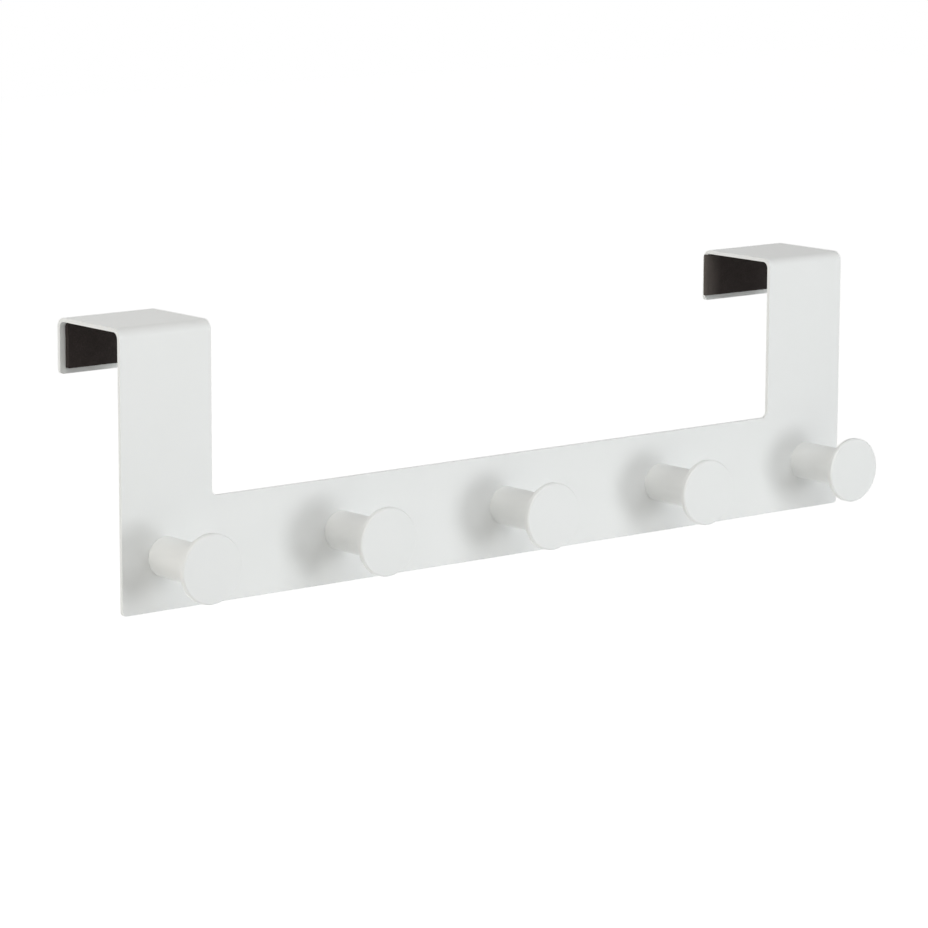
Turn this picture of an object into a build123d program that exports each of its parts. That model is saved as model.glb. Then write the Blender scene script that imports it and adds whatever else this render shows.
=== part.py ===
from build123d import *
import os

# Over door hook: a sheet folded into two hooks over the top edge of a door, with a row of turned pegs
# screwed to its rail from behind and a foam pad inside each hook.
# X runs along the rail, Y goes from the room into the door and Z is up. The origin is the middle of
# the door's top front edge: the sheet's back lies on Y 0 and the undersides of the hooks on Z 0.

# Folded sheet
sheet = 1.5  # thickness
rail_length = 358.0
rail_height = 40.0
hook_width = 40.0
front_drop = 103.5  # from the undersides of the hooks to the rail's bottom edge
flange_drop = 19.5  # from the undersides of the hooks to the bottom edge of their flanges
bend_radius = 2.5  # inside each bend
corner_radius = 1.5  # bottom corners of the rail and of the flanges
notch_radius = 2.5  # where the inner side of a hook runs into the rail

# Door and foam pads
door_thickness = 35.0
pad_thickness = 2.0
pad_side_margin = 2.0  # flange left bare on each side of a centred pad
pad_bottom_margin = 2.0  # flange left bare below a pad
pad_bend_gap = 0.3  # between a pad's rounded top and the inside of the bend above it
pad_corner_radius = 0.8
left_pad_offset = 0.2  # the pads are stuck on by hand, a little off centre
right_pad_offset = -3.2  # laps over the inner side of its flange

# Turned pegs
peg_count = 5
peg_end_distance = 19.0  # from the rail's end to the axis of the peg beside it
peg_length = 29.5
shank_diameter = 15.0
head_diameter = 26.0
head_thickness = 2.0
neck_chamfer = 0.5  # where the shank runs out into the back of the head
rim_chamfer = 0.5  # around the face of the head

# Countersunk socket screws
screw_diameter = 4.0
screw_length = 10.0  # with the head
screw_head_diameter = 8.0
screw_clearance = 0.05  # around the head and the shank
bore_spare = 1.5  # of the peg's bore past the screw's tip
drive_width = 2.5  # across the flats of the hexagon socket
drive_depth = 1.4

# Worked out from the sizes above
COUNTERSINK_ANGLE = 90
hook_gap = door_thickness + pad_thickness
hook_middle = (rail_length - hook_width) / 2
peg_height = rail_height / 2 - front_drop
peg_pitch = (rail_length - 2 * peg_end_distance) / (peg_count - 1)
peg_places = [(number - (peg_count - 1) / 2) * peg_pitch for number in range(peg_count)]
countersink_radius = screw_head_diameter / 2 + screw_clearance
screw_bore_radius = screw_diameter / 2 + screw_clearance
bore_mouth_radius = countersink_radius - sheet

os.makedirs("parts", exist_ok=True)


def turning_plane(place, y):
    """Plane through a peg's axis, with its X away from the axis and its Y out into the room."""
    return Plane(origin=(place, y, peg_height), x_dir=(1, 0, 0), z_dir=(0, 0, -1))


def turning_axis(place):
    """Axis of the peg at one place along the rail, out into the room."""
    return Axis((place, 0, peg_height), (0, -1, 0))


def drilling_plane(place, y):
    """Plane across a peg's axis that faces the door, for holes made from behind."""
    return Plane(origin=(place, y, peg_height), x_dir=(-1, 0, 0), z_dir=(0, 1, 0))


# Sheet folded over the door, then opened between the two hooks and countersunk for the screws
with BuildPart() as hook_plate:
    with BuildSketch(Plane.YZ):
        with BuildLine():
            inside = FilletPolyline(
                (0, -front_drop),
                (0, 0),
                (hook_gap, 0),
                (hook_gap, -flange_drop),
                radius=bend_radius,
            )
            outside = FilletPolyline(
                (-sheet, -front_drop),
                (-sheet, sheet),
                (hook_gap + sheet, sheet),
                (hook_gap + sheet, -flange_drop),
                radius=bend_radius + sheet,
            )
            Line(inside @ 0, outside @ 0)
            Line(inside @ 1, outside @ 1)
        make_face()
    extrude(amount=rail_length / 2, both=True)
    with BuildSketch(Plane.XZ) as between_hooks:
        with Locations((0, rail_height - front_drop)):
            Rectangle(rail_length - 2 * hook_width, front_drop, align=(Align.CENTER, Align.MIN))
        fillet(between_hooks.vertices().group_by(Axis.Y)[0], radius=notch_radius)
    extrude(amount=hook_gap + 2 * sheet, both=True, mode=Mode.SUBTRACT)
    across_sheet = hook_plate.edges().filter_by(Axis.Y)
    rail_corners = across_sheet.group_by(Axis.Z)[0]
    flange_corners = across_sheet.filter_by_position(Axis.Y, hook_gap, hook_gap + sheet)
    fillet(rail_corners + flange_corners, radius=corner_radius)
    with Locations(*[drilling_plane(place, 0) for place in peg_places]):
        CounterSinkHole(
            radius=screw_bore_radius,
            counter_sink_radius=countersink_radius,
            depth=sheet,
            counter_sink_angle=COUNTERSINK_ANGLE,
        )
hook_plate.part.label = "hook_plate"
export_step(hook_plate.part, "parts/hook_plate.step")

# Pegs turned from bar: a straight shank that runs out into a thin flat head, bored from behind
shank_radius = shank_diameter / 2
head_radius = head_diameter / 2
head_back = peg_length - head_thickness
for number, place in enumerate(peg_places, start=1):
    with BuildPart() as peg:
        with BuildSketch(turning_plane(place, -sheet)) as half_section:
            with BuildLine():
                Polyline(
                    (0, 0),
                    (shank_radius, 0),
                    (shank_radius, head_back),
                    (head_radius, head_back),
                    (head_radius, peg_length),
                    (0, peg_length),
                    close=True,
                )
            make_face()
            neck_corner = half_section.vertices().sort_by_distance((shank_radius, head_back))[0]
            chamfer(neck_corner, length=min(neck_chamfer, 0.9 * (head_radius - shank_radius)))
            rim_corner = half_section.vertices().sort_by_distance((head_radius, peg_length))[0]
            chamfer(rim_corner, length=min(rim_chamfer, 0.9 * head_thickness))
        revolve(axis=turning_axis(place))
        with Locations(drilling_plane(place, -sheet)):
            CounterSinkHole(
                radius=screw_bore_radius,
                counter_sink_radius=bore_mouth_radius,
                depth=screw_length - sheet + bore_spare,
                counter_sink_angle=COUNTERSINK_ANGLE,
            )
    peg.part.label = f"peg_{number}"
    export_step(peg.part, f"parts/peg_{number}.step")

# Screws: heads flush with the back of the sheet, shanks in the bores of the pegs
screw_radius = screw_diameter / 2
screw_head_radius = screw_head_diameter / 2
with BuildPart() as peg_screws:
    for place in peg_places:
        with BuildSketch(turning_plane(place, 0)):
            with BuildLine():
                Polyline(
                    (0, 0),
                    (screw_head_radius, 0),
                    (screw_radius, screw_head_radius - screw_radius),
                    (screw_radius, screw_length),
                    (0, screw_length),
                    close=True,
                )
            make_face()
        revolve(axis=turning_axis(place))
    with BuildSketch(*[drilling_plane(place, 0) for place in peg_places]):
        RegularPolygon(radius=drive_width / 2, side_count=6, major_radius=False)
    extrude(amount=-drive_depth, mode=Mode.SUBTRACT)
peg_screws.part.label = "peg_screws"
export_step(peg_screws.part, "parts/peg_screws.step")

# Foam pads on the inner faces of the flanges, pushed up into the bends with their top edges rounded
pad_width = hook_width - 2 * pad_side_margin
pad_bottom = pad_bottom_margin - flange_drop
for name, middle in (
    ("left_pad", left_pad_offset - hook_middle),
    ("right_pad", right_pad_offset + hook_middle),
):
    with BuildPart() as pad:
        with BuildSketch(Plane.YZ.offset(middle - pad_width / 2)) as pad_section:
            with Locations((hook_gap, pad_bottom)):
                Rectangle(hook_gap, -pad_bend_gap - pad_bottom, align=(Align.MAX, Align.MIN))
            bend_corner = pad_section.vertices().sort_by_distance((hook_gap, -pad_bend_gap))[0]
            fillet(bend_corner, radius=bend_radius)
            with Locations((hook_gap, pad_bottom)):
                Rectangle(pad_thickness, flange_drop, align=(Align.MAX, Align.MIN), mode=Mode.INTERSECT)
        extrude(amount=pad_width)
        fillet(pad.edges().filter_by(Axis.Y).group_by(Axis.Z)[0], radius=pad_corner_radius)
    pad.part.label = name
    export_step(pad.part, f"parts/{name}.step")
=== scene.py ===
"""Looks of the over door hook: its finishes, softened edges, foam pads, studio light and camera."""

import logging
import math
from collections.abc import Sequence
from dataclasses import dataclass, field
from enum import Enum
from typing import Any

import bmesh
import bpy
from mathutils import Matrix, Vector, noise

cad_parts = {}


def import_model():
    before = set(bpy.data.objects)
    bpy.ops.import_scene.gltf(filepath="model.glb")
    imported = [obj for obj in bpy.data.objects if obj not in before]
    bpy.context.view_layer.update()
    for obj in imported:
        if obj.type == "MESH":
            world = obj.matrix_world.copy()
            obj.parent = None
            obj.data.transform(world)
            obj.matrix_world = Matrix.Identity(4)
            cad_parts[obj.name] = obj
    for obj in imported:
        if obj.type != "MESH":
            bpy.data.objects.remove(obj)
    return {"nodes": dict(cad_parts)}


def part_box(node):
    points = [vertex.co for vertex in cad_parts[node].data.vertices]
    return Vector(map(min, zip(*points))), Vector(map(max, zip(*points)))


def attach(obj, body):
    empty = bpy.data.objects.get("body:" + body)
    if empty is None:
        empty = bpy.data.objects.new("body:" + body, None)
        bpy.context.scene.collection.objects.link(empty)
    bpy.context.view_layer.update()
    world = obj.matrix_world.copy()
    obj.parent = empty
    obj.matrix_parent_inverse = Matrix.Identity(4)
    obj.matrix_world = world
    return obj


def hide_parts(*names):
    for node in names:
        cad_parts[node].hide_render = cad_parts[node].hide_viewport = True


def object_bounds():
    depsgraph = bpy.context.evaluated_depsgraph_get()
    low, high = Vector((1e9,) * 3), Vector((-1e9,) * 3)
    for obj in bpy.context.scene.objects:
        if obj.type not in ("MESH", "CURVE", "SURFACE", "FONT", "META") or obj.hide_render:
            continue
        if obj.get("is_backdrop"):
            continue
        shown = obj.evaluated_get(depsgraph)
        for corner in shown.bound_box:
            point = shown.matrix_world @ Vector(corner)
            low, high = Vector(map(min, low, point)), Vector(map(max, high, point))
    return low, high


log = logging.getLogger("over_door_hook")

MM = 0.001
# Mesh attribute that carries the painted light on the right pad's lapped end.
LAP_SHARE = "lap_share"
WHITE = "#FFFFFF"
COOL_WHITE = "#FCFEFF"
WARM_WHITE = "#FFFCF6"


class Side(Enum):
    """The two hooks, each with the node of the foam pad inside it."""

    LEFT = "left_pad"
    RIGHT = "right_pad"


def linear(colour: str) -> tuple[float, float, float, float]:
    """Turn an sRGB colour into the linear one that Blender's sockets take.

    Args:
        colour: The colour as #RRGGBB.

    Returns:
        Linear red, green, blue and an alpha of 1.
    """
    channels = [int(colour[start : start + 2], 16) / 255 for start in (1, 3, 5)]
    light = [c / 12.92 if c <= 0.04045 else ((c + 0.055) / 1.055) ** 2.4 for c in channels]
    return (light[0], light[1], light[2], 1.0)


def add_node(
    tree: bpy.types.NodeTree, kind: str, inputs: dict[Any, Any] | None = None, **settings: Any
) -> bpy.types.Node:
    """Add one node, set its properties and fill its inputs.

    Args:
        tree: Node tree that gets the node.
        kind: Blender's name for the kind of node.
        inputs: For each input, by name or number, a socket to link or a plain value.
        settings: Properties of the node itself, such as its operation.

    Returns:
        The new node.
    """
    node = tree.nodes.new(kind)
    for name, value in settings.items():
        setattr(node, name, value)
    for name, value in (inputs or {}).items():
        if isinstance(value, bpy.types.NodeSocket):
            tree.links.new(value, node.inputs[name])
        else:
            node.inputs[name].default_value = value
    return node


def start_material(name: str) -> tuple[bpy.types.Material, bpy.types.NodeTree]:
    """Make a material with an empty node tree.

    Args:
        name: Name of the material.

    Returns:
        The material and its node tree.
    """
    material = bpy.data.materials.new(name)
    material.use_nodes = True
    material.node_tree.nodes.clear()
    return material, material.node_tree


def add_noise(
    tree: bpy.types.NodeTree, place: bpy.types.NodeSocket, width: float, detail: float
) -> bpy.types.NodeSocket:
    """Add a cloudy pattern of real size.

    Args:
        tree: Node tree that gets the pattern.
        place: Socket with the coordinates that it is drawn in.
        width: Width of its patches, in metres.
        detail: How many finer patterns are laid over it.

    Returns:
        The socket with its level, from 0 to 1.
    """
    inputs = {"Vector": place, "Scale": 1 / width, "Detail": detail}
    return add_node(tree, "ShaderNodeTexNoise", inputs).outputs["Fac"]


def add_blend(
    tree: bpy.types.NodeTree, share: bpy.types.NodeSocket, first: Any, second: Any
) -> bpy.types.NodeSocket:
    """Add a blend of two colours.

    Args:
        tree: Node tree that gets the blend.
        share: Socket with the share of the second colour, from 0 to 1.
        first: Linear colour, or a socket with one.
        second: Linear colour, or a socket with one.

    Returns:
        The socket with the blended colour.
    """
    inputs = {"Factor": share, "A": first, "B": second}
    return add_node(tree, "ShaderNodeMix", inputs, data_type="RGBA").outputs["Result"]


def add_range(
    tree: bpy.types.NodeTree, level: bpy.types.NodeSocket, low: float, high: float
) -> bpy.types.NodeSocket:
    """Spread a level from 0 to 1 over another range.

    Args:
        tree: Node tree that gets the range.
        level: Socket with the level.
        low: What 0 becomes.
        high: What 1 becomes.

    Returns:
        The socket with the spread level.
    """
    inputs = {"Value": level, "To Min": low, "To Max": high}
    return add_node(tree, "ShaderNodeMapRange", inputs).outputs["Result"]


def middle(box: tuple[Sequence[float], Sequence[float]]) -> Vector:
    """Get the middle of a box.

    Args:
        box: Its lowest and its highest corner.

    Returns:
        The point halfway between them.
    """
    low, high = box
    return (Vector(low) + Vector(high)) / 2


def dress(piece: bpy.types.Object, material: bpy.types.Material) -> None:
    """Give a piece one material all over.

    Args:
        piece: Mesh object to dress.
        material: Its finish.
    """
    piece.data.materials.clear()
    piece.data.materials.append(material)


@dataclass(frozen=True)
class PowderCoat:
    """White polyester powder, sprayed on steel and baked.

    The film flows out as it melts: edges lose their sharpness and the faces keep a faint orange peel, so
    the eye sees a satin white with soft highlights and no mirror reflections.
    """

    film: str = "#EAECEB"
    thick_film: str = "#EDEEEE"
    smooth: float = 0.40
    rough: float = 0.50
    peel_width: float = 2.2 * MM
    peel_detail: float = 1.0
    peel_height: float = 0.006 * MM
    # The baked powder's grain is about a tenth of this: drawn coarser, because it would not show.
    grain_width: float = 0.5 * MM
    grain_detail: float = 2.0
    grain_height: float = 0.002 * MM
    cloud_width: float = 45 * MM
    cloud_detail: float = 3.0

    def material(self) -> bpy.types.Material:
        """Make the coat's material.

        Returns:
            The material, with its patterns at real size in the object's own coordinates.
        """
        material, tree = start_material("powder_coated_steel")
        place = add_node(tree, "ShaderNodeTexCoord").outputs["Object"]
        cloud = add_noise(tree, place, self.cloud_width, self.cloud_detail)
        peel = add_noise(tree, place, self.peel_width, self.peel_detail)
        grain = add_noise(tree, place, self.grain_width, self.grain_detail)
        waves = add_node(
            tree, "ShaderNodeBump", {"Height": peel, "Distance": self.peel_height, "Strength": 1.0}
        )
        surface = add_node(
            tree,
            "ShaderNodeBump",
            {
                "Height": grain,
                "Distance": self.grain_height,
                "Strength": 1.0,
                "Normal": waves.outputs["Normal"],
            },
        )
        shader = add_node(
            tree,
            "ShaderNodeBsdfPrincipled",
            {
                "Base Color": add_blend(tree, cloud, linear(self.film), linear(self.thick_film)),
                "Roughness": add_range(tree, peel, self.smooth, self.rough),
                "Normal": surface.outputs["Normal"],
            },
        )
        add_node(tree, "ShaderNodeOutputMaterial", {"Surface": shader.outputs["BSDF"]})
        return material


@dataclass(frozen=True)
class ZincPlate:
    """Bright zinc, plated on a cold-headed and turned steel screw.

    Zinc is a cool light grey, and the fine rings that the tool leaves on the head draw out its highlights.
    The sockets are painted darker with depth, as painted shade in them.
    """

    zinc: str = "#B9BDC0"
    dulled: str = "#A4A8AA"
    # Painted shade in the sockets, which darken towards this colour with depth.
    socket_shade: str = "#5A5D5F"
    bright: float = 0.24
    dull: float = 0.36
    # Real tool marks are about 0.1 mm apart: drawn coarser, so that they show.
    ring_spacing: float = 0.35 * MM
    ring_height: float = 0.006 * MM
    ring_strength: float = 0.6
    patch_width: float = 1.5 * MM
    patch_detail: float = 3.0
    # Depth over which the painted shade darkens into the sockets.
    shade_depth: float = 0.5 * MM
    first_axis: float = 0.0
    axis_pitch: float = 0.08
    axis_height: float = 0.0

    def material(self) -> bpy.types.Material:
        """Make the plating's material, with rings round each screw's own axis.

        Returns:
            The material.
        """
        material, tree = start_material("zinc_plated_steel")
        place = add_node(tree, "ShaderNodeTexCoord").outputs["Object"]
        parts = add_node(tree, "ShaderNodeSeparateXYZ", {"Vector": place})
        across = add_node(
            tree,
            "ShaderNodeMath",
            {
                0: parts.outputs["X"],
                1: self.first_axis - self.axis_pitch / 2,
                2: self.first_axis + self.axis_pitch / 2,
            },
            operation="WRAP",
        )
        around = add_node(
            tree, "ShaderNodeCombineXYZ", {"X": across.outputs["Value"], "Z": parts.outputs["Z"]}
        )
        centred = add_node(
            tree,
            "ShaderNodeVectorMath",
            {0: around.outputs["Vector"], 1: (self.first_axis, 0.0, self.axis_height)},
            operation="SUBTRACT",
        )
        radius = add_node(tree, "ShaderNodeVectorMath", {0: centred.outputs["Vector"]}, operation="LENGTH")
        turns = add_node(
            tree,
            "ShaderNodeMath",
            {0: radius.outputs["Value"], 1: math.tau / self.ring_spacing},
            operation="MULTIPLY",
        )
        rings = add_node(tree, "ShaderNodeMath", {0: turns.outputs["Value"]}, operation="SINE")
        patches = add_noise(tree, place, self.patch_width, self.patch_detail)
        zinc = add_blend(tree, patches, linear(self.zinc), linear(self.dulled))
        # Painted shade: below the back face the colour darkens into the sockets, and faintly round the heads'
        # rounded rims.
        plated = add_node(
            tree,
            "ShaderNodeMapRange",
            {"Value": parts.outputs["Y"], "From Min": -self.shade_depth, "From Max": 0.0},
        )
        surface = add_node(
            tree,
            "ShaderNodeBump",
            {"Height": rings.outputs["Value"], "Distance": self.ring_height, "Strength": self.ring_strength},
        )
        shader = add_node(
            tree,
            "ShaderNodeBsdfPrincipled",
            {
                "Base Color": add_blend(tree, plated.outputs["Result"], linear(self.socket_shade), zinc),
                "Metallic": 1.0,
                "Roughness": add_range(tree, patches, self.bright, self.dull),
                "Normal": surface.outputs["Normal"],
            },
        )
        add_node(tree, "ShaderNodeOutputMaterial", {"Surface": shader.outputs["BSDF"]})
        return material


@dataclass(frozen=True)
class CutFoam:
    """Dark closed-cell foam, slit from a sheet and die-cut.

    The cut leaves open cells at the surface: it drinks the light, with a grainy matt face and no highlight;
    the grain is painted darker in the cells' hollows, as painted shade there.
    The right pad's lapped end is painted paler, as painted light from the hook's open side.
    """

    skin: str = "#443D3B"
    # Painted shade in the cells' hollows, where the bump sinks.
    pit: str = "#2A2423"
    # Painted light on the right pad's lapped end.
    lap_painted_light: str = "#58524F"
    roughness: float = 0.92
    sheen: float = 0.25
    # Real cells are 0.1 to 0.3 mm wide: drawn coarser, so that they show.
    cell_width: float = 0.55 * MM
    cell_depth: float = 0.10 * MM
    cell_strength: float = 0.7
    blotch_width: float = 4 * MM
    blotch_detail: float = 4.0

    def material(self) -> bpy.types.Material:
        """Make the foam's material.

        Returns:
            The material, with cells that pit the face and a faint blotch between them.
        """
        material, tree = start_material("closed_cell_foam")
        place = add_node(tree, "ShaderNodeTexCoord").outputs["Object"]
        cells = add_node(
            tree,
            "ShaderNodeTexVoronoi",
            {"Vector": place, "Scale": 1 / self.cell_width, "Randomness": 1.0},
            feature="SMOOTH_F1",
        )
        blotch = add_noise(tree, place, self.blotch_width, self.blotch_detail)
        # Painted shade: the colour darkens where the bump sinks in each cell, mottled by a random blotch.
        mixed = add_node(
            tree, "ShaderNodeMath", {0: cells.outputs["Distance"], 1: blotch}, operation="MULTIPLY"
        )
        colour = add_blend(tree, mixed.outputs["Value"], linear(self.pit), linear(self.skin))
        lap_share = add_node(tree, "ShaderNodeAttribute", attribute_name=LAP_SHARE)
        surface = add_node(
            tree,
            "ShaderNodeBump",
            {
                "Height": cells.outputs["Distance"],
                "Distance": self.cell_depth,
                "Strength": self.cell_strength,
            },
        )
        shader = add_node(
            tree,
            "ShaderNodeBsdfPrincipled",
            {
                # Painted light: the lapped end is painted paler.
                "Base Color": add_blend(tree, lap_share.outputs["Fac"], colour, linear(self.lap_painted_light)),
                "Roughness": self.roughness,
                "Specular IOR Level": self.sheen,
                "Normal": surface.outputs["Normal"],
            },
        )
        add_node(tree, "ShaderNodeOutputMaterial", {"Surface": shader.outputs["BSDF"]})
        return material


@dataclass(frozen=True)
class SoftEdges:
    """Edges rounded off by a coat or a tumbling drum, made with modifiers so that the CAD mesh stays."""

    radius: float
    sharp_angle: float = math.radians(30)
    steps: int = 3
    merge_distance: float = 0.001 * MM
    flat_weight: int = 100
    group_name: str = "joined_facets"

    def joined_facets(self) -> bpy.types.NodeTree:
        """Get the node group that joins a mesh's facets and shades them smooth.

        Returns:
            The group, made at its first use.
        """
        if self.group_name in bpy.data.node_groups:
            return bpy.data.node_groups[self.group_name]
        tree = bpy.data.node_groups.new(self.group_name, "GeometryNodeTree")
        for way in ("INPUT", "OUTPUT"):
            tree.interface.new_socket("Geometry", in_out=way, socket_type="NodeSocketGeometry")
        start = add_node(tree, "NodeGroupInput")
        merged = add_node(
            tree,
            "GeometryNodeMergeByDistance",
            {"Geometry": start.outputs["Geometry"], "Distance": self.merge_distance},
        )
        smooth = add_node(tree, "GeometryNodeSetShadeSmooth", {"Geometry": merged.outputs["Geometry"]})
        plain = add_node(
            tree,
            "GeometryNodeSetMeshNormal",
            {"Mesh": smooth.outputs["Geometry"], "Remove Custom": True},
            mode="SHARPNESS",
        )
        add_node(tree, "NodeGroupOutput", {"Geometry": plain.outputs["Mesh"]})
        return tree

    def soften(self, piece: bpy.types.Object) -> None:
        """Round the piece's sharp edges and shade its faces smooth.

        Args:
            piece: CAD node to soften.
        """
        joined = piece.modifiers.new(self.group_name, "NODES")
        joined.node_group = self.joined_facets()
        bevel = piece.modifiers.new("soft_edges", "BEVEL")
        bevel.width = self.radius
        bevel.segments = self.steps
        bevel.limit_method = "ANGLE"
        bevel.angle_limit = self.sharp_angle
        normals = piece.modifiers.new("face_normals", "WEIGHTED_NORMAL")
        normals.weight = self.flat_weight


@dataclass
class HookPlate:
    """The folded sheet: rail, uprights, tops and flanges in one."""

    node: bpy.types.Object
    coat: bpy.types.Material
    edges: SoftEdges = SoftEdges(radius=0.40 * MM)

    def build(self) -> None:
        """Soften the sheet's edges and coat it."""
        self.edges.soften(self.node)
        dress(self.node, self.coat)
        log.info("hook_plate: folded sheet, powder coated")


@dataclass
class Peg:
    """One turned peg, with a straight shank and a flat round head."""

    node: bpy.types.Object
    coat: bpy.types.Material
    edges: SoftEdges = SoftEdges(radius=0.20 * MM)

    def build(self) -> None:
        """Soften the peg's edges and coat it."""
        self.edges.soften(self.node)
        dress(self.node, self.coat)
        log.info("%s: turned peg, powder coated", self.node.name)


@dataclass
class PegScrews:
    """The five countersunk screws that hold the pegs from behind."""

    node: bpy.types.Object
    plating: bpy.types.Material
    edges: SoftEdges = SoftEdges(radius=0.12 * MM, steps=2)

    def build(self) -> None:
        """Soften the screws' edges and plate them."""
        self.edges.soften(self.node)
        dress(self.node, self.plating)
        log.info("peg_screws: countersunk screws, zinc plated")


@dataclass
class FoamPad:
    """A die-cut foam pad, stuck to the inner face of a flange and pushed up into the bend."""

    side: Side
    foam: bpy.types.Material
    bend_radius: float = 2.5 * MM
    edge_radius: float = 0.45 * MM
    crown: float = 0.15 * MM
    waist: float = 0.20 * MM
    lump_width: float = 5.0 * MM
    lump_height: float = 0.10 * MM
    ragged_width: float = 1.1 * MM
    ragged_height: float = 0.05 * MM
    lap_length: float = 8.0 * MM
    lap_drop: float = 1.2 * MM
    free_length: float = 0.8 * MM
    step: float = 0.4 * MM
    least_cuts: int = 4
    fill: float = 0.9
    low: Vector = field(init=False)
    high: Vector = field(init=False)

    def __post_init__(self) -> None:
        """Take the pad's box from its CAD node."""
        low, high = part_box(self.side.value)
        self.low = Vector(low)
        self.high = Vector(high)

    def lattice(self) -> bmesh.types.BMesh:
        """Make a box of small square faces that spans from -1 to 1 each way.

        Returns:
            The box as a bmesh.
        """
        half = (self.high - self.low) / 2
        cuts = [max(self.least_cuts, round(2 * size / self.step)) for size in half]
        mesh = bmesh.new()
        points: dict[tuple[int, int, int], bmesh.types.BMVert] = {}

        def point(key: tuple[int, int, int]) -> bmesh.types.BMVert:
            """Get the vertex at one lattice place, made at its first use."""
            if key not in points:
                points[key] = mesh.verts.new([2 * key[i] / cuts[i] - 1 for i in range(3)])
            return points[key]

        for axis in range(3):
            right, up = (axis + 1) % 3, (axis + 2) % 3
            for end in (0, cuts[axis]):
                for i in range(cuts[right]):
                    for j in range(cuts[up]):
                        ring = []
                        for di, dj in ((0, 0), (1, 0), (1, 1), (0, 1)):
                            key = [0, 0, 0]
                            key[axis], key[right], key[up] = end, i + di, j + dj
                            ring.append(point((key[0], key[1], key[2])))
                        mesh.faces.new(ring if end else reversed(ring))
        return mesh

    def rounded(self, unit: Vector) -> tuple[Vector, Vector]:
        """Place one lattice point on the pad with rounded edges.

        Args:
            unit: The point, from -1 to 1 each way.

        Returns:
            The point in the row frame and the way that the surface faces there.
        """
        half = (self.high - self.low) / 2
        outer = Vector([unit[i] * half[i] for i in range(3)])
        room = [size - self.edge_radius for size in half]
        inner = Vector([max(-room[i], min(room[i], outer[i])) for i in range(3)])
        facing = (outer - inner).normalized()
        return middle((self.low, self.high)) + inner + facing * self.edge_radius, facing

    def shaped(self, unit: Vector) -> Vector:
        """Place one lattice point on the finished pad.

        Args:
            unit: The point, from -1 to 1 each way.

        Returns:
            The point in the row frame, in metres.
        """
        place, facing = self.rounded(unit)
        loose = max(0.0, 1.0 - max(0.0, facing.y))
        lumps = noise.noise(place / self.lump_width) * self.lump_height
        ragged = noise.noise(place / self.ragged_width) * self.ragged_height
        swell = self.crown * (1 - unit.x**4) * (1 - unit.z**4) * max(0.0, -facing.y)
        pinch = self.waist * (1 - abs(unit.y)) * (abs(facing.x) + max(0.0, -facing.z))
        place = place + facing * (loose * (lumps + ragged) + swell - pinch)
        return self.under_bend(self.curled(place))

    def lap_share(self, place: Vector) -> float:
        """Tell how far a point lies into the right pad's end, which laps over its flange's side; the same
        share paints light on that end.

        Args:
            place: The point in the row frame.

        Returns:
            0 on the flange and all over the left pad, up to 1 at the lapped end.
        """
        along = (place.x - self.low.x) / self.lap_length
        return 0.0 if self.side is Side.LEFT else max(0.0, min(1.0, 1 - along))

    def curled(self, place: Vector) -> Vector:
        """Curl the lapped end back, because nothing stands behind it.

        Args:
            place: The point in the row frame.

        Returns:
            The point, drawn back along the lapped end.
        """
        fall = self.lap_drop * (1 - math.sqrt(1 - self.lap_share(place) ** 2))
        depth = (self.high.y - place.y) / (self.high.y - self.low.y)
        return place + Vector((0, fall * depth, 0))

    def under_bend(self, place: Vector) -> Vector:
        """Keep a point of the pad clear of the inside of the bend above it.

        Args:
            place: The point in the row frame.

        Returns:
            The point, drawn in to the bend's arc where it stood past it. The lapped end keeps its corner,
            because it stands free beside the bend.
        """
        if self.lap_share(place) > 1 - self.free_length / self.lap_length:
            return place
        thickness = self.high.y - self.low.y
        rise = math.sqrt(self.bend_radius**2 - (self.bend_radius - thickness) ** 2)
        centre = Vector((place.x, self.high.y - self.bend_radius, self.high.z - rise))
        arm = place - centre
        if arm.z <= 0 or arm.length <= self.bend_radius:
            return place
        return centre + arm.normalized() * self.bend_radius

    def build(self) -> None:
        """Model the pad, dress it and let it stand for its CAD node."""
        mesh = self.lattice()
        lap_share = mesh.verts.layers.float.new(LAP_SHARE)
        for vertex in mesh.verts:
            vertex.co = self.shaped(vertex.co)
            # The lap share is kept on the mesh, where it paints light on the lapped end.
            vertex[lap_share] = self.lap_share(vertex.co)
        for face in mesh.faces:
            face.smooth = True
        data = bpy.data.meshes.new(f"{self.side.value}_foam")
        mesh.to_mesh(data)
        mesh.free()
        piece = bpy.data.objects.new(f"{self.side.value}_foam", data)
        bpy.context.scene.collection.objects.link(piece)
        dress(piece, self.foam)
        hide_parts(self.side.value)
        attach(piece, "root")
        log.info("%s: die-cut foam", piece.name)


@dataclass(frozen=True)
class SoftBox:
    """One large lamp with a diffusing front, aimed at the hook, which shiny surfaces mirror or not.

    Its angles are in degrees: the azimuth from the front towards the right, the elevation upwards.
    """

    name: str
    azimuth: float
    elevation: float
    distance: float
    width: float
    radiance: float
    tint: str = WHITE
    mirrored: bool = True

    def hang(self, aim: Vector) -> None:
        """Place the lamp and aim it.

        Args:
            aim: Point that the lamp faces.
        """
        lamp = bpy.data.lights.new(self.name, "AREA")
        lamp.shape = "SQUARE"
        lamp.size = self.width
        lamp.energy = self.radiance * math.pi * self.width**2
        lamp.color = linear(self.tint)[:3]
        turn = math.radians(self.azimuth)
        rise = math.radians(self.elevation)
        way = Vector((math.sin(turn) * math.cos(rise), -math.cos(turn) * math.cos(rise), math.sin(rise)))
        holder = bpy.data.objects.new(self.name, lamp)
        holder.location = aim + way * self.distance
        holder.rotation_euler = way.to_track_quat("Z", "Y").to_euler()
        holder.visible_glossy = self.mirrored
        bpy.context.scene.collection.objects.link(holder)


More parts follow.
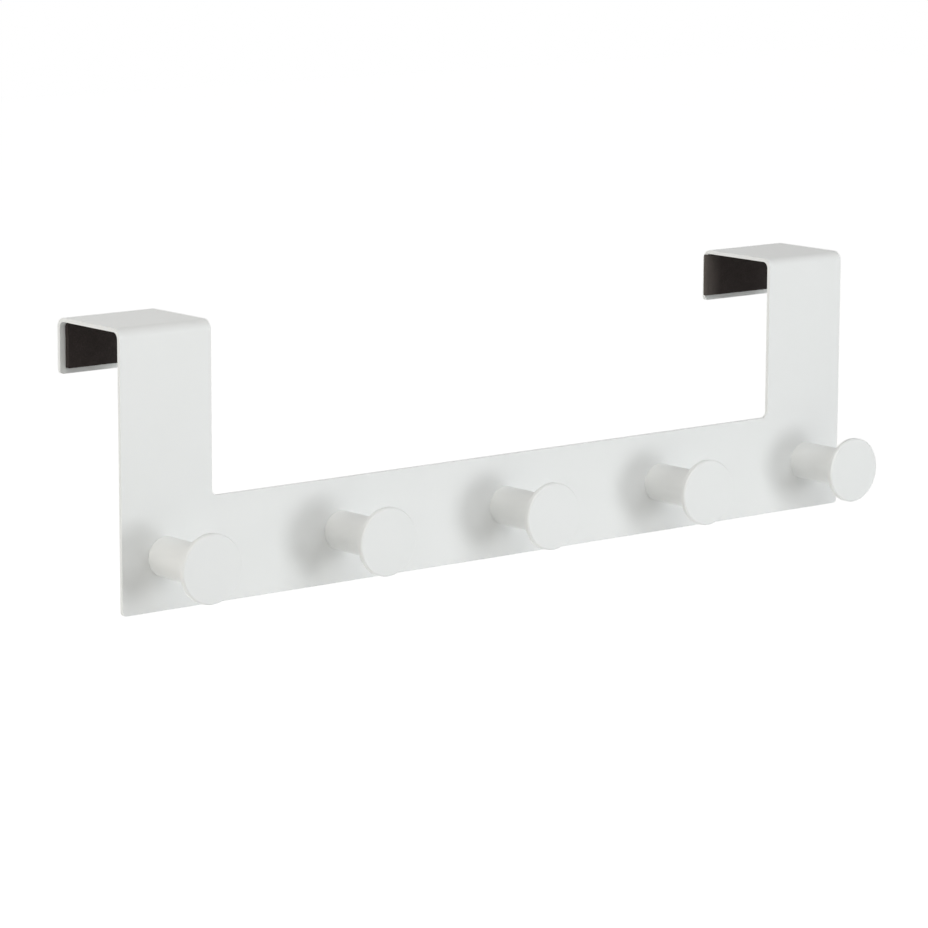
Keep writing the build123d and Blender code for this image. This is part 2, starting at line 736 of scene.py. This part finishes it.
@dataclass(frozen=True)
class Studio:
    """White surroundings, soft lamps and a pale floor well below the hanging hook."""

    ambient: str = WHITE
    ambient_level: float = 0.12
    floor_colour: str = "#F6F6F4"
    floor_glow: float = 0.89
    floor_drop: float = 0.45
    floor_width: float = 12.0
    lamps: tuple[SoftBox, ...] = (
        SoftBox(
            "key_softbox", azimuth=20, elevation=0, distance=1.6, width=0.5, radiance=8.6, tint=COOL_WHITE
        ),
        SoftBox(
            "front_softbox", azimuth=10, elevation=25, distance=0.8, width=0.4, radiance=3.35, tint=COOL_WHITE
        ),
        SoftBox(
            "low_softbox", azimuth=0, elevation=-13, distance=1.6, width=0.5, radiance=1.4, tint=COOL_WHITE
        ),
        SoftBox(
            "top_softbox", azimuth=-60, elevation=55, distance=1.4, width=1.0, radiance=2.25, tint=WARM_WHITE
        ),
        SoftBox(
            "left_softbox", azimuth=-84, elevation=0, distance=1.6, width=0.5, radiance=5.1, tint=WARM_WHITE
        ),
        SoftBox(
            "rear_softbox", azimuth=-110, elevation=5, distance=1.6, width=1.2, radiance=0.8, tint=WARM_WHITE
        ),
        SoftBox(
            "back_softbox", azimuth=-170, elevation=15, distance=1.4, width=1.6, radiance=1.4, mirrored=False
        ),
    )

    def build(self, aim: Vector) -> None:
        """Set up the surroundings, the floor and the lamps.

        Args:
            aim: Point that the lamps face.
        """
        self.surround()
        self.lay_floor()
        for lamp in self.lamps:
            lamp.hang(aim)
        log.info("studio: white surroundings, %d lamps and a floor", len(self.lamps))

    def seen_directly(self, tree: bpy.types.NodeTree) -> bpy.types.NodeSocket:
        """Add the nodes that are 1 on rays from the camera and on rays in mirrors and glass, else 0.

        Args:
            tree: Node tree that gets the nodes.

        Returns:
            The socket that carries the 0 or 1.
        """
        path = add_node(tree, "ShaderNodeLightPath")
        first = add_node(
            tree,
            "ShaderNodeMath",
            {0: path.outputs["Is Camera Ray"], 1: path.outputs["Is Glossy Ray"]},
            operation="MAXIMUM",
        )
        both = add_node(
            tree,
            "ShaderNodeMath",
            {0: first.outputs["Value"], 1: path.outputs["Is Transmission Ray"]},
            operation="MAXIMUM",
        )
        return both.outputs["Value"]

    def surround(self) -> None:
        """Make the world white to the eye, and a plain ambient light to the hook."""
        world = bpy.data.worlds.new("white_studio")
        world.use_nodes = True
        tree = world.node_tree
        tree.nodes.clear()
        level = add_range(tree, self.seen_directly(tree), self.ambient_level, 1.0)
        light = add_node(
            tree, "ShaderNodeBackground", {"Color": linear(self.ambient), "Strength": level}
        )
        add_node(tree, "ShaderNodeOutputWorld", {"Surface": light.outputs["Background"]})
        bpy.context.scene.world = world

    def lay_floor(self) -> None:
        """Lay the floor, which takes the hook's shadow and looks white to the camera elsewhere."""
        material, tree = start_material("white_paper")
        paper = add_node(tree, "ShaderNodeBsdfDiffuse", {"Color": linear(self.floor_colour)})
        level = add_node(
            tree,
            "ShaderNodeMath",
            {0: self.seen_directly(tree), 1: self.floor_glow},
            operation="MULTIPLY",
        )
        glow = add_node(tree, "ShaderNodeEmission", {"Strength": level.outputs["Value"]})
        both = add_node(
            tree, "ShaderNodeAddShader", {0: paper.outputs["BSDF"], 1: glow.outputs["Emission"]}
        )
        add_node(tree, "ShaderNodeOutputMaterial", {"Surface": both.outputs["Shader"]})
        mesh = bmesh.new()
        bmesh.ops.create_grid(mesh, x_segments=1, y_segments=1, size=self.floor_width / 2)
        data = bpy.data.meshes.new("floor")
        mesh.to_mesh(data)
        mesh.free()
        floor = bpy.data.objects.new("floor", data)
        floor.location.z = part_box("hook_plate")[0][2] - self.floor_drop
        bpy.context.scene.collection.objects.link(floor)
        dress(floor, material)
        floor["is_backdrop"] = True


@dataclass(frozen=True)
class PhotoCamera:
    """The camera at the photograph's angle, from a pinhole camera fitted to the hook's edges."""

    place: tuple[float, float, float] = (-984.36 * MM, -1185.62 * MM, 211.89 * MM)
    turn: float = -39.1453
    tilt: float = 10.2778
    roll: float = 0.1954
    focal_pixels: float = 4046.3
    frame_pixels: int = 928
    sensor: float = 36.0

    def build(self) -> None:
        """Place the camera and make it the scene's own."""
        data = bpy.data.cameras.new("photo_camera")
        data.sensor_width = self.sensor
        data.lens = self.focal_pixels * self.sensor / self.frame_pixels
        camera = bpy.data.objects.new("photo_camera", data)
        turned = Matrix.Rotation(math.radians(self.turn), 4, "Z")
        tilted = Matrix.Rotation(math.radians(90 - self.tilt), 4, "X")
        rolled = Matrix.Rotation(math.radians(self.roll), 4, "Z")
        camera.matrix_world = Matrix.Translation(self.place) @ turned @ tilted @ rolled
        bpy.context.scene.collection.objects.link(camera)
        bpy.context.scene.camera = camera
        log.info("camera: %.1f mm lens", data.lens)


def main() -> None:
    """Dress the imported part, light it and place the camera."""
    logging.basicConfig(level=logging.INFO, format="%(message)s")
    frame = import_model()
    cad_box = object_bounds()
    bpy.context.scene.view_settings.view_transform = "Standard"
    nodes = frame["nodes"]
    pegs = sorted(name for name in nodes if name.startswith("peg_") and name != "peg_screws")

    first_axis = middle(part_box(pegs[0]))
    axis_pitch = (middle(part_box(pegs[1])) - first_axis).x

    coat = PowderCoat().material()
    plating = ZincPlate(
        first_axis=first_axis.x, axis_pitch=axis_pitch, axis_height=first_axis.z
    ).material()
    foam = CutFoam().material()

    HookPlate(nodes["hook_plate"], coat).build()
    for name in pegs:
        Peg(nodes[name], coat).build()
    PegScrews(nodes["peg_screws"], plating).build()
    for side in Side:
        FoamPad(side, foam).build()

    Studio().build(aim=middle(cad_box))
    PhotoCamera().build()

    bpy.context.view_layer.update()


if __name__ == "__main__":
    main()
